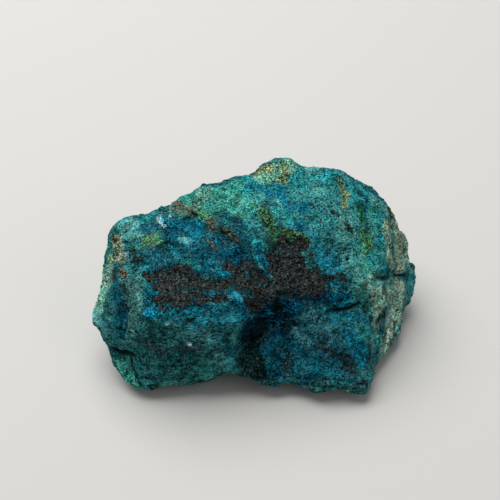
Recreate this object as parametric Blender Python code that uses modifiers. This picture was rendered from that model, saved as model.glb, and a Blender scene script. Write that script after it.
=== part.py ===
"""A rough chrysocolla specimen: one broken stone that lies on its broadest face.

The stone is drawn as the blocks that its main fractures leave, each the hull of its corners.
The blocks are grown into one skin, which is worn round, then given its lumps, chipped scoops,
bedding ledges, cracks and pits. The origin is at the bottom centre of the stone's box, +Z is up,
and the broken front faces -Y.
"""

import math

import bmesh
import bpy
import numpy as np
from mathutils import Vector, noise

MM = 0.001

# Driving dimensions: the box of the finished stone, in millimetres.
WIDTH = 93.0
DEPTH = 62.0
HEIGHT = 44.0

# Corners of the blocks, in millimetres: x to the right, y to the back, z up.
CROWN = [
    # front edge of the roof, from the left
    (-3.1, -15.2, 25), (3.4, -16.9, 25), (11.4, -16.9, 24.2), (19.4, -15.7, 22.6), (28.9, -14.2, 18),
    # left edge of the roof
    (-6.8, 1.8, 34), (-5.9, -3.2, 31.8), (-4.5, -8.7, 28.6),
    # the roof's low swell
    (1.4, -0.7, 34.6), (13.4, -0.7, 33.6), (25.4, 0.3, 30.6),
    # back rim, from the left over to the right shoulder
    (-6.6, 19.5, 38.7), (11.4, 22.4, 38.5), (15.6, 24.2, 38), (20.9, 23.4, 36.4), (24.6, 22.3, 35.4),
    (29, 21.8, 33), (32.9, 20.8, 30.7), (35.6, 18.9, 28.9), (38, 17, 26.2), (40.3, 14.2, 23.2),
    (42.3, 11.5, 19.6), (43.4, 6.8, 14.8),
    # top of the right face
    (35.8, 13.8, 28.2), (35.4, 4.3, 27), (34.2, -3.2, 24.8), (31, -9.3, 22), (29.4, -13.5, 16.8),
    # foot of the right face
    (31.2, -23.8, 0), (35.9, -14.7, 0), (39.4, -9.6, 0), (41.7, -2.1, 0), (43.4, 2.3, 2),
    # back wall and its foot
    (-8.6, 24.3, 10), (-2.6, 27.3, 20), (17.4, 29.3, 20), (33.4, 26.3, 15),
    (-6.6, 23.3, 1), (7.4, 27.3, 0), (22.4, 28.3, 0), (35.4, 22.3, 1), (42.4, 10.3, 3),
    # the recess behind the toe
    (-0.6, -12.7, 5), (9.4, -11.7, 4),
]
PEAK = [
    (-0.6, 21.4, 39.3), (1.9, 21.9, 40.2), (5.8, 22.9, 41.3), (8.4, 23.3, 41.4), (10.6, 22.3, 38.6),
    (0.4, 27.3, 24), (14.4, 28.8, 24), (-4.6, 12.3, 36.4), (13.4, 13.3, 36.4),
    (3.4, 16.3, 30), (11.4, 16.3, 30),
]
TERRACE = [
    (-25.4, 11.3, 33.8), (-18.4, 5.5, 33), (-14.2, 3.9, 33.6), (-6.7, 1.7, 34.4), (-0.6, 0.3, 34.6),
    (-15.1, 16.8, 36.8), (-10.6, 18.6, 38.1), (-6.6, 19.5, 38.7), (1.4, 16.3, 37.6),
    (-24.6, 12.3, 26), (-16.6, 7.3, 26), (-22.6, 21.3, 20), (-2.6, 24.3, 24), (-2.6, 0.3, 26),
]
SHOULDER = [
    # roof
    (-39.2, 7.7, 31), (-41.8, 5.6, 29.4), (-31.1, 11, 32.8), (-23.6, 12.7, 32.6),
    (-16.6, 2.3, 31), (-7.6, -0.7, 30), (-5.6, -7.7, 27.6), (-3.6, -15.7, 25), (-28.6, -15.7, 26.4),
    (-28.6, -21.1, 24.8), (-15.8, -22.9, 25.4), (-4.1, -19.1, 25),
    # left side
    (-42.6, -0.5, 28), (-44.2, -4.7, 22.6), (-46.7, -14.4, 11.6), (-45.9, -12.1, 15.6),
    (-45, -15.7, 8), (-40.4, -13.5, 20.8), (-39.8, -17.3, 9.5), (-29.2, -22.9, 22),
    (-33.6, -23.3, 10),
    # back
    (-38.6, 11.3, 20), (-39.6, 9.3, 6), (-28.6, 18.3, 6), (-16.6, 18.3, 20), (-35.6, 15.3, 12),
    # front face and its lower edge
    (-30.4, -25, 8.5), (-24.6, -26.6, 8.5), (-14.6, -26.4, 8.5), (-7.6, -24.4, 8), (-4.6, -16.7, 8),
]
LEFT_FOOT = [
    (-34, -28.6, 0), (-35.4, -26.4, 0), (-37, -22.8, 0.6), (-40, -19, 1.8), (-44.4, -17, 4.6),
    (-46, -14.6, 8), (-38.6, -5.7, 0), (-41.4, -16.3, 9), (-35.2, -22.9, 9.4), (-32.4, -25.6, 8),
    (-24.6, -27.2, 0), (-23.6, -26.8, 9), (-15.6, -27.1, 0.6), (-11.4, -26.4, 3.4), (-7.1, -25.9, 6.6),
    (-8.6, -21.7, 9), (-14.6, -11.7, 0), (-36.6, 6.3, 0), (-28.6, 16.3, 0),
]
BODY = [
    # inside, under the roofs
    (-30, -8, 24), (-26, 12, 29), (-12, 17.5, 33), (-3, 20, 34), (8, -12, 23), (-12, -16, 23),
    # back wall, left of the crown
    (-36.5, 9.5, 13), (-27, 18.6, 15), (-10.5, 25, 17), (2, 29, 12),
    # foot, and the low hollow behind the front edge
    (-37, 6.5, 1), (-25, 19, 0.6), (-13, 26, 0.2), (2, 28, 0), (-34, -8, 0.6), (8, -16, 3), (-12, -18, 5),
]
CORE = [
    (-8.6, -17.2, 24.5), (-0.6, -15.4, 24.8), (11.4, -14.2, 23.5),
    (-8.6, -19.2, 9), (0.4, -15.2, 8.6), (10.4, -12.5, 9), (-4.6, -16, 4), (0, -20, 2.6), (11, -18, 1.2),
    (-8.6, 2.3, 24), (11.4, 2.3, 24), (-8.6, 2.3, 1), (11.4, 2.3, 1),
]
WEB = [
    (-9.1, -26.2, 6.4), (-6.5, -26, 6.4), (-2.6, -27.2, 4.2), (2, -28.4, 1.8), (5, -26, 1.2),
    (-5.6, -20.3, 12), (-0.2, -18.1, 12), (2, -20.4, 9.6), (-8.6, -11.7, 4), (3.4, -11.7, 2),
]
TOE = [
    # lower front edge
    (-0.8, -28.4, 1.2), (5.4, -29.4, 0.6), (9, -30, 0.5), (12.2, -29.8, 0.6), (19.4, -29.3, 0.6),
    (28.4, -30.6, 0.4), (29.8, -27.7, 4),
    # upper edge, under the overhang of the roof
    (-0.2, -20.1, 9.4), (3.4, -18.3, 11.8), (7.6, -16.5, 15), (13.8, -15.7, 18.2), (23.4, -15.7, 18.8),
    (29.2, -14.7, 17.2),
    # the blunt ridge down its face, and its right edge
    (22, -21.3, 12.4), (27, -25.5, 7), (30.6, -18.5, 10), (31.4, -24.7, 3),
    # back, inside the stone
    (1.4, -11.7, 3), (17.4, -7.7, 12), (31.4, -11.7, 10), (33.4, -19.2, 0), (17.4, -9.7, 0),
]
SOLE = [
    (18.8, -28.6, 0.4), (28.4, -30.6, 0), (30.7, -25.5, 0), (29.8, -28, 4.4), (19.4, -28.6, 5.4),
    (15.4, -28.3, 3.2), (17.4, -15.7, 0), (27.4, -15.7, 0), (23.4, -17.7, 6),
]
FLAKE = [
    (42.4, 5.3, 14), (45.8, 10.1, 10.8), (46.7, 8.9, 8.4), (46.4, 6.7, 6), (44.2, 2.1, 1.2), (41.4, 3.3, 0.6),
    (40.4, 11.3, 12), (42.4, 13.3, 3), (38.4, 6.3, 8),
]
BACK_SLAB = [
    (-16.6, 24.3, 0), (2.4, 30.3, 0), (21.4, 30.8, 0), (31.4, 26.3, 1), (29.4, 26.8, 9), (17.4, 29.8, 11.5),
    (-0.6, 28.8, 12.5), (-15.6, 23.3, 9), (-2.6, 16.3, 0), (17.4, 16.3, 0), (7.4, 16.3, 12),
]
# The worn lumps that the stone lies on, set back under its lower edges. They reach below the level
# of the other blocks, and CONTACT wears them flat.
LEFT_LUMP = [
    (-31, -20, -3.5), (-24, -19, -3.5), (-34, -9, -3.5), (-17, -10, -3.5),
    (-32, 3, -3.5), (-25, 11, -3.5), (-13, 3, -3.5),
    (-33, -24, 1.5), (-23, -23, 1.5), (-38, -6, 1.5), (-15, -10, 2),
    (-35, 7, 1.5), (-27, 15, 1.5), (-8, 6, 2),
]
RIGHT_LUMP = [
    (14, -20, -3.5), (27, -21, -3.5), (31, -12, -3.5), (35, -4, -3.5),
    (36, 4, -3.5), (13, -10, -3.5), (17, 4, -3.5),
    (9, -24, 1), (28, -25, 1), (34, -14, 1.5), (39, -3, 1.5),
    (40, 6, 2), (9, -8, 2), (14, 8, 2),
]
BACK_LUMP = [
    (-10, 19, -3.5), (2, 24, -3.5), (20, 24, -3.5), (27, 19, -3.5), (0, 12, -3.5), (22, 12, -3.5),
    (-14, 22, 1.5), (2, 28, 1), (21, 28.5, 1), (31, 23, 1.5), (-5, 9, 2), (25, 9, 2),
]
BLOCKS = [
    CROWN, PEAK, TERRACE, SHOULDER, LEFT_FOOT, BODY, CORE, WEB, TOE, SOLE, FLAKE, BACK_SLAB,
    LEFT_LUMP, RIGHT_LUMP, BACK_LUMP,
]

# Cracks: the points they run through, half width, depth.
CRACKS = [
    # the long split under the roof's front edge
    ([(18.2, -17.3, 20.1), (20.9, -16.3, 20.2), (24.3, -15.3, 19.5), (27.6, -14.2, 19.9)], 1.5, 1.3),
    # the split in the right face
    ([(33, -7, 22.4), (36.2, -4.1, 19.2), (39.7, -0.2, 16), (42.7, 3.7, 12.7)], 1.5, 1.4),
    # the eaten slot under the left ledge
    ([(-40.5, -19.8, 7.4), (-37.3, -21.6, 7.9), (-34.4, -22.8, 8.6)], 1.8, 1.8),
]

# Pits: centre, radius, depth.
PITS = [
    ((-5.2, -5.2, 29.5), 3.6, 1.6),  # the dark hollow below the roof's left edge
    ((27.9, 15.8, 32.5), 1.8, 0.9),
    ((31.9, 13.8, 30.5), 2.0, 1.0),
    ((-36.6, -0.7, 30), 3.0, 1.1),  # the eaten corner of the left shoulder
]

SKIN_STEP = 0.9  # mesh spacing of the grown skin
WEAR_BEFORE = 4  # smoothing passes that round the blocks' edges
WEAR_AFTER = 1  # smoothing passes over the finished relief

LUMP_SPAN = 13.0
LUMP_HEIGHT = 1.1
CHIP_SPAN = 8.5
CHIP_DEPTH = 1.1
CHIP_RADIUS = 0.62  # of a chipped scoop, in spans
CHIP_LEVEL = 0.4  # of a scoop's depth that stands above the skin, so that the mean stays put
BED_PITCH = 3.7
BED_DEPTH = 0.75
BED_SLOPE = 0.06  # rise of the beds towards the right
BED_WAVE = (19.0, 1.6)  # span and height of the beds' waves
BED_RISE = 0.7  # share of a bed that leans out; the rest falls back
BED_GAPS = (11.0, 1.4, 0.55)  # span of the stretches with and without beds, contrast, share with beds
GRAIN_SPAN = 3.2
GRAIN_HEIGHT = 0.3
CONTACT = 1.5  # what is worn off the lowest lumps, where the stone lies
TRIANGLES = 9200

STONE_COLOUR = (0.03, 0.14, 0.17, 1)
STONE_ROUGHNESS = 0.62


def block(corners):
    """A closed block, the hull of its corners, as a new mesh in metres."""
    bm = bmesh.new()
    for corner in corners:
        bm.verts.new(Vector(corner) * MM)
    hull = bmesh.ops.convex_hull(bm, input=bm.verts)
    bmesh.ops.delete(bm, geom=list({*hull["geom_interior"], *hull["geom_unused"]}), context="VERTS")
    bmesh.ops.recalc_face_normals(bm, faces=bm.faces)
    mesh = bpy.data.meshes.new("block")
    bm.to_mesh(mesh)
    bm.free()
    return mesh


def joined_blocks():
    """All the blocks in one mesh, still passing through each other."""
    whole = bmesh.new()
    for corners in BLOCKS:
        mesh = block(corners)
        whole.from_mesh(mesh)
        bpy.data.meshes.remove(mesh)
    mesh = bpy.data.meshes.new("chrysocolla")
    whole.to_mesh(mesh)
    whole.free()
    return mesh


def apply_modifiers(obj):
    """Puts the evaluated mesh in place of the object's own."""
    graph = bpy.context.evaluated_depsgraph_get()
    mesh = bpy.data.meshes.new_from_object(obj.evaluated_get(graph))
    obj.modifiers.clear()
    obj.data = mesh


def grow_skin(obj):
    """One closed skin over everything in the object's mesh."""
    skin = obj.modifiers.new("skin", "REMESH")
    skin.mode = "VOXEL"
    skin.voxel_size = SKIN_STEP * MM
    apply_modifiers(obj)


def keep_largest_shell(mesh):
    """Drops the closed pockets that the blocks leave between them inside the skin."""
    bm = bmesh.new()
    bm.from_mesh(mesh)
    unseen = set(bm.verts)
    shells = []
    while unseen:
        shell = set()
        edge_of_shell = [unseen.pop()]
        while edge_of_shell:
            vertex = edge_of_shell.pop()
            shell.add(vertex)
            for edge in vertex.link_edges:
                other = edge.other_vert(vertex)
                if other in unseen:
                    unseen.remove(other)
                    edge_of_shell.append(other)
        shells.append(shell)
    shells.sort(key=len)
    for shell in shells[:-1]:
        bmesh.ops.delete(bm, geom=list(shell), context="VERTS")
    bm.to_mesh(mesh)
    bm.free()


def wear_round(obj, passes):
    """Smooths the skin's edges and corners."""
    wear = obj.modifiers.new("worn round", "SMOOTH")
    wear.factor = 0.5
    wear.iterations = passes
    apply_modifiers(obj)


def lumps(point):
    """The broad unevenness of the whole stone."""
    return LUMP_HEIGHT * noise.noise(point / LUMP_SPAN)


def chips(point):
    """Shallow shells broken out of the surface, which meet in low ridges."""
    distances, _ = noise.voronoi(point / CHIP_SPAN)
    return CHIP_DEPTH * (CHIP_LEVEL - max(0.0, 1 - (distances[0] / CHIP_RADIUS) ** 2))


def ledges(point, steepness):
    """Edges of the beds, which lie nearly level, on the steep faces."""
    wave_span, wave_height = BED_WAVE
    bed = point.z + BED_SLOPE * point.x + wave_height * noise.noise(point / wave_span + Vector((7, 0, 3)))
    rise = (bed / BED_PITCH) % 1.0
    step = rise / BED_RISE if rise < BED_RISE else (1 - rise) / (1 - BED_RISE)
    gap_span, contrast, share = BED_GAPS
    shown = min(1.0, max(0.0, share + contrast * noise.noise(point / gap_span + Vector((0, 5, 9)))))
    return BED_DEPTH * (step - 0.5) * shown * steepness


def grain(point):
    """The small unevenness of the broken rock."""
    return GRAIN_HEIGHT * noise.noise(point / GRAIN_SPAN + Vector((3, 3, 3)))


def distance_to_path(point, path):
    """How far the point is from the nearest of the path's segments."""
    nearest = math.inf
    for start, end in zip(path, path[1:]):
        start, end = Vector(start), Vector(end)
        along = end - start
        part = min(1.0, max(0.0, (point - start).dot(along) / along.length_squared))
        nearest = min(nearest, (point - start - part * along).length)
    return nearest


def cracks_and_pits(point):
    """How far the named cracks and pits lower the skin here, as a height."""
    depth = 0.0
    for path, half_width, deep in CRACKS:
        depth += deep * max(0.0, 1 - distance_to_path(point, path) / half_width)
    for centre, radius, deep in PITS:
        depth += deep * max(0.0, 1 - ((point - Vector(centre)).length / radius) ** 2)
    return -depth


def carve(mesh):
    """Moves each point of the skin along its normal."""
    moved = []
    for vertex in mesh.vertices:
        point = vertex.co / MM
        steepness = 1 - abs(vertex.normal.z)
        height = lumps(point) + chips(point) + ledges(point, steepness) + grain(point)
        moved.append(vertex.co + vertex.normal * (height + cracks_and_pits(point)) * MM)
    for vertex, place in zip(mesh.vertices, moved):
        vertex.co = place


def thin_out(obj, triangles):
    """Brings the skin down to about that many triangles."""
    obj.data.calc_loop_triangles()
    thin = obj.modifiers.new("thin out", "DECIMATE")
    thin.ratio = triangles / len(obj.data.loop_triangles)
    thin.use_collapse_triangulate = True
    apply_modifiers(obj)


def fit_to_box(mesh):
    """Wears the lowest lumps flat, then brings the stone to its size, standing at the origin."""
    points = np.empty(len(mesh.vertices) * 3)
    mesh.vertices.foreach_get("co", points)
    points = points.reshape(-1, 3)
    floor = points[:, 2].min() + CONTACT * MM
    points[:, 2] = np.maximum(points[:, 2], floor)
    low, high = points.min(axis=0), points.max(axis=0)
    size = np.array((WIDTH, DEPTH, HEIGHT)) * MM
    points = (points - low) / (high - low) * size - size * (0.5, 0.5, 0)
    mesh.vertices.foreach_set("co", points.ravel())
    mesh.update()


def stone_material():
    """A plain blue-green that stands for the mixed minerals."""
    material = bpy.data.materials.new("chrysocolla")
    material.use_nodes = True
    shader = material.node_tree.nodes["Principled BSDF"]
    shader.inputs["Base Color"].default_value = STONE_COLOUR
    shader.inputs["Roughness"].default_value = STONE_ROUGHNESS
    shader.inputs["Metallic"].default_value = 0
    material.diffuse_color = STONE_COLOUR
    return material


def main():
    for obj in list(bpy.data.objects):
        bpy.data.objects.remove(obj, do_unlink=True)
    collection = bpy.data.collections.new("chrysocolla specimen")
    bpy.context.scene.collection.children.link(collection)
    stone = bpy.data.objects.new("stone", joined_blocks())
    collection.objects.link(stone)
    grow_skin(stone)
    keep_largest_shell(stone.data)
    wear_round(stone, WEAR_BEFORE)
    carve(stone.data)
    grow_skin(stone)
    keep_largest_shell(stone.data)
    wear_round(stone, WEAR_AFTER)
    thin_out(stone, TRIANGLES)
    fit_to_box(stone.data)
    stone.data.materials.append(stone_material())
    stone.data.shade_smooth()


main()
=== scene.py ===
"""Looks of a rough chrysocolla specimen: its broken skin, its minerals and their grain.

The stone is one piece. Its skin is grown again at a finer spacing from the solid, then given its
chips, bed lines, furrows and grain as real relief. The minerals are patches along strokes over the
skin, each stroke a few points in millimetres, with ragged edges; a few patches are painted shade
in the recess and the crevice and painted light on the right flank. The material adds the grain
that is
finer than the mesh: crystals with painted glints, pores and dust, and painted shade in the
hollows.
"""

import math

import bpy
import numpy as np
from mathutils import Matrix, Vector, noise


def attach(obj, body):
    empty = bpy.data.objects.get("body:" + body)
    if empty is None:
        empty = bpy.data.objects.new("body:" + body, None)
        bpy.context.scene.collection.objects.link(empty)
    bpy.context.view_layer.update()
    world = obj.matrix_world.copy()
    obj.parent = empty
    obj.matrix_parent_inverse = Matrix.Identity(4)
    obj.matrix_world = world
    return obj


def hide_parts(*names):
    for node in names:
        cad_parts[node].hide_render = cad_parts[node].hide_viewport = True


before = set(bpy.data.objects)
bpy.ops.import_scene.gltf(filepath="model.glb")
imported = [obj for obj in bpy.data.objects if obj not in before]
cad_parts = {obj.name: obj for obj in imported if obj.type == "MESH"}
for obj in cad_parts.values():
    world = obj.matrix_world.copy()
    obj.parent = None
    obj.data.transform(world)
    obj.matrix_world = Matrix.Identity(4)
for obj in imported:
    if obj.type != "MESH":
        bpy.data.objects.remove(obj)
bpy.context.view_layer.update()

MM = 0.001

# ---------------------------------------------------------------- relief, in millimetres

SKIN_STEP = 0.47  # mesh spacing, which keeps the stone under 200,000 triangles
SKIN_PASSES = 3  # smoothing passes that take the solid's facets away
SKIN_SMOOTHING = 0.5  # how far each pass moves a point towards the middle of its neighbours
OFF_SKIN = 3.0  # how far a line's points may lie above or below the skin that it is drawn on

# Shifts of one noise, which give the three parts of a vector that drifts from place to place.
DRIFT_SHIFTS = [Vector((9, -1.5, -8)), Vector((0, 0, 0)), Vector((6.5, 0.5, -2.5))]

# Small flat breaks in the skin: their span, and how far they tilt.
BREAKS = [(6.5, 0.13), (3.2, 0.17), (1.7, 0.26)]
BREAK_DRIFT = 0.25  # how far their edges wander, as a share of the span
TILT_SEED = 7.3  # fixes which way each of them tilts
HALF = Vector((0.5, 0.5, 0.5))

# The lumps of the grain. Octaves: how fast finer lumps fade, the step between sizes, their number.
SUGAR_SPAN = 1.3
SUGAR_HEIGHT = 0.24
SUGAR_OCTAVES = (0.9, 2.1, 3)

# Thin beds that show as ledges on the steep faces.
BED_PITCH = 1.3
BED_HEIGHT = 0.20
BED_FALL = 0.05  # drop for each millimetre to the right
BED_LIP = 0.75  # share of the pitch over which a bed swells before it breaks back
BED_WAVE_SPAN = 7
BED_WAVE_HEIGHT = 0.7
BED_GAP_SPAN = 5
BED_GAP_SHIFT = Vector((2, 9, 4))
BED_CLEAR = 0.5  # how clear the beds are on the whole, from 0 to 1
BED_CLEAR_SWING = 1.5

# Streaks of the grain along the beds.
STEEP = (0.35, 0.75)  # steepness where they start to show, and where they show fully
STREAKS_SPAN = 9
STREAKS_CLEAR = 0.65
STREAKS_SWING = 1.3
LEAST_STREAKS = 0.2

# The black crust lies a little lower than the ground, and hides part of its relief.
CRUST_DROP = 0.22
CRUST_EDGE = (0.45, 0.6)  # cover where the crust starts, and where it is whole
CRUST_HIDES = 0.5
CRUST_FADE = 0.5  # cover lost from a stroke's middle to its half width
THIN_CRUST = 0.6  # cover in the middle of the thinnest stroke
CRUST_GAIN = 0.2  # and what each millimetre of half width adds

# What the material takes for a hollow, a furrow and a worn edge: depth or height where it starts,
# and where it is whole. Hollows and furrows are darkened with painted shade.
HOLLOW_DEPTHS = (-0.05, 0.3)
FURROW_DEPTHS = (0.1, 0.6)
# Strength of the painted shade in furrows and at the foot of scarps.
FURROW_SHADE = 1.6
SCARP_SHARE = 0.5  # how much of its drop a scarp adds to a furrow's depth, giving painted shade at its foot
WORN_HEIGHTS = (0.1, 0.5)

# The shaded hollow between the roof and the toe, eaten deeper.
RECESS = [(6, -17, 23), (2, -16, 20), (-1, -17, 15)]
RECESS_REACH = 6.0
RECESS_DEPTH = 1.2

# Lines in the relief: half width, height, points. A ridge rises along its line.
RIDGES = [
    (1.1, 0.45, [(-34.5, -11.5, 30), (-33.5, -17.5, 27.5), (-35, -21.5, 22.5), (-36, -22, 15)]),
    (1.1, 0.35, [(-39, 1, 32), (-40.5, -5.5, 30), (-40, -11, 26.5), (-41.5, -17, 19.5)]),
    (1.0, 0.40, [
        (31, -9.5, 25), (32.5, -12.5, 20), (32, -17.5, 15), (31, -20.5, 9.5), (29.5, -26.5, 7.5),
    ]),
    (0.8, 0.30, [(35.5, 11, 32), (36, 4.5, 30), (36.5, 0.5, 26.5)]),
    (0.8, 0.30, [(38.5, 11.5, 29), (38.5, 5.5, 26), (38.5, 1, 22.5)]),
    (0.7, 0.25, [(-32, -15, 30), (-31, -19, 28), (-31.5, -22, 25)]),
]

# A furrow or crack sinks along its line: half width, depth, points.
FURROWS = [
    (0.9, 0.7, [(18, -17.5, 23), (21, -16.5, 23), (24.5, -15.5, 22.5), (27.5, -14, 23)]),
    (0.7, 0.8, [(33, -7, 25.5), (36, -4, 22), (39.5, 0, 19), (42.5, 3.5, 15.5)]),
    (1.0, 0.8, [(-40.5, -20, 10.5), (-37.5, -21.5, 11), (-34.5, -23, 11.5)]),
    (0.8, 0.6, [(-36, -22, 11), (-34.5, -26, 8), (-33, -28.5, 5.5)]),
    (0.9, 0.5, [(23.5, 19, 38), (24, 15, 37.5), (24, 10, 37)]),
    (0.8, 0.5, [(29, 10, 34.5), (28.5, 5.5, 34.5)]),
    (1.0, 0.4, [(29.5, 3, 33.5), (30, -1, 31)]),
    (1.0, 0.6, [(-1, -8.5, 33), (1, -13.5, 30), (-0.5, -17, 26)]),
    (0.8, 0.5, [(-0.5, -21, 13), (0.5, -23, 9.5), (2, -26.5, 7)]),
    (0.6, 0.4, [
        (-32.5, -25.5, 10.5), (-27, -27, 11.5), (-20, -27, 12.5), (-13.5, -27, 12),
        (-7.5, -27, 9.5),
    ]),
    (0.6, 0.3, [(-32, -27.5, 7), (-26, -28.5, 7.5), (-19, -28, 7.5), (-13.5, -27.5, 8.5)]),
    (0.6, 0.4, [(16, -29.5, 6), (22, -29.5, 5.5), (27.5, -30, 5.5)]),
    (0.6, 0.3, [(7, -26.5, 6.5), (14, -28, 7.5), (20.5, -29.5, 8.5), (28, -29, 6.5)]),
    (0.6, 0.3, [(11, -23, 13), (16.5, -23, 14), (21.5, -23.5, 13.5)]),
    (0.7, 0.4, [(35.5, -6.5, 21.5), (35, -11, 18), (34, -15.5, 13), (33, -19, 8)]),
]

# A scarp stands up on the left of its line and drops on the right, as seen from outside: reach on
# each side, rise, points.
SCARP_EDGE = 0.5  # half the width of the drop itself
SCARPS = [
    (2.6, 0.20, [
        (-23, 11, 37), (-19, 7.5, 37), (-14.5, 4, 37), (-10, 1, 35.5), (-6.5, -2.5, 34.5),
        (-1, -8.5, 33),
    ]),
    (1.8, 0.45, [(-43.5, -16.5, 9.5), (-40.5, -19, 10.5), (-37.5, -21, 11.5)]),
    (2.4, 0.50, [
        (18, -17, 24), (12.5, -18.5, 24.5), (7, -19, 21), (3, -18, 17), (-0.5, -19.5, 14),
    ]),
    (2.0, 0.35, [(29.5, -27, 7.5), (27, -25, 10), (25, -23.5, 13), (23.5, -20.5, 16)]),
    (1.6, 0.30, [(-30.5, -14, 30), (-28.5, -19, 29.5), (-28.5, -23, 26.5)]),
]

# ---------------------------------------------------------------- minerals

# Colour as in daylight (sRGB, 0 to 255), share of speckle, share of pale grains.
MINERALS = {
    "sea teal": ((50, 140, 145), 0.9, 0.6),
    "spring teal": ((74, 182, 166), 0.7, 0.5),
    "spring bright": ((84, 182, 166), 0.4, 0.3),
    "dull green": ((115, 178, 156), 0.8, 0.3),
    "turquoise": ((41, 157, 162), 0.7, 0.5),
    "pale cyan": ((108, 188, 190), 0.5, 0.6),
    "cyan": ((40, 158, 182), 0.5, 0.4),
    "bright blue": ((8, 134, 164), 0.7, 0.3),
    "deep blue": ((4, 90, 122), 0.7, 0.1),
    "blue mottle": ((9, 95, 118), 1.0, 0.4),
    "dark teal": ((40, 112, 119), 0.9, 0.3),
    "navy": ((10, 72, 96), 0.7, 0.1),
    "pale teal": ((88, 167, 162), 0.7, 0.8),
    "grey teal": ((62, 130, 144), 0.9, 0.5),
    "peak green": ((134, 192, 166), 0.9, 0.4),
    "beige": ((156, 172, 147), 0.9, 0.5),
    "beige green": ((148, 188, 168), 1.0, 0.5),
    "moss grey": ((74, 122, 120), 0.9, 0.4),
    "striated": ((28, 92, 96), 1.0, 0.4),
    "teal blue": ((9, 112, 133), 0.9, 0.4),
    "green teal": ((44, 122, 116), 0.7, 0.4),
    "toe blue": ((6, 86, 112), 1.0, 0.4),
    # Navy mineral darkened with painted shade in the recess under the roof.
    "recess navy with painted shade": ((6, 50, 80), 0.7, 0.1),
    # Black mineral with painted shade in the crevice between the blocks.
    "web black with painted shade": ((9, 19, 24), 0.9, 0.3),
    "brown grey": ((40, 62, 72), 0.9, 0.2),
    "olive brown": ((90, 85, 60), 0.7, 0.1),
    "dark olive": ((80, 118, 84), 0.8, 0.0),
    "yellow green": ((112, 168, 122), 0.4, 0.0),
    "leaf green": ((98, 162, 116), 0.6, 0.1),
    "ochre": ((162, 174, 126), 0.8, 0.0),
    "rust": ((136, 92, 60), 0.8, 0.0),
    "white": ((225, 250, 252), 0.3, 0.0),
    "brown mottle": ((98, 102, 88), 1.0, 0.5),
    "blue glass": ((3, 84, 112), 0.3, 0.1),
    "rim green": ((66, 146, 130), 0.7, 0.3),
    "leaf dark": ((40, 130, 88), 0.6, 0.1),
    "petrol": ((7, 84, 102), 0.7, 0.25),
    # Pale beige made paler as painted light on the right flank.
    "flank pale with painted light": ((182, 208, 192), 0.8, 0.5),
    "toe shade": ((16, 64, 66), 0.9, 0.4),
    # Painted shadow deep in the recess.
    "painted recess shadow": ((2, 14, 22), 0.5, 0.15),
}

# The ground under the patches: its first mineral, and the two fields of noise by which others lie
# over it, each a span in millimetres and a shift.
BASE_MINERAL = "striated"
BROAD_FIELD = (15, Vector((4, 1, 2)))
SMALL_FIELD = (8, Vector((9, 3, 5)))
FIELD_OCTAVES = (1.0, 2.0, 3)

# How the edges of patches and crusts wander: span and reach in millimetres.
EDGE_WANDER = [(3.4, 1.3), (1.3, 0.7)]

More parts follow.
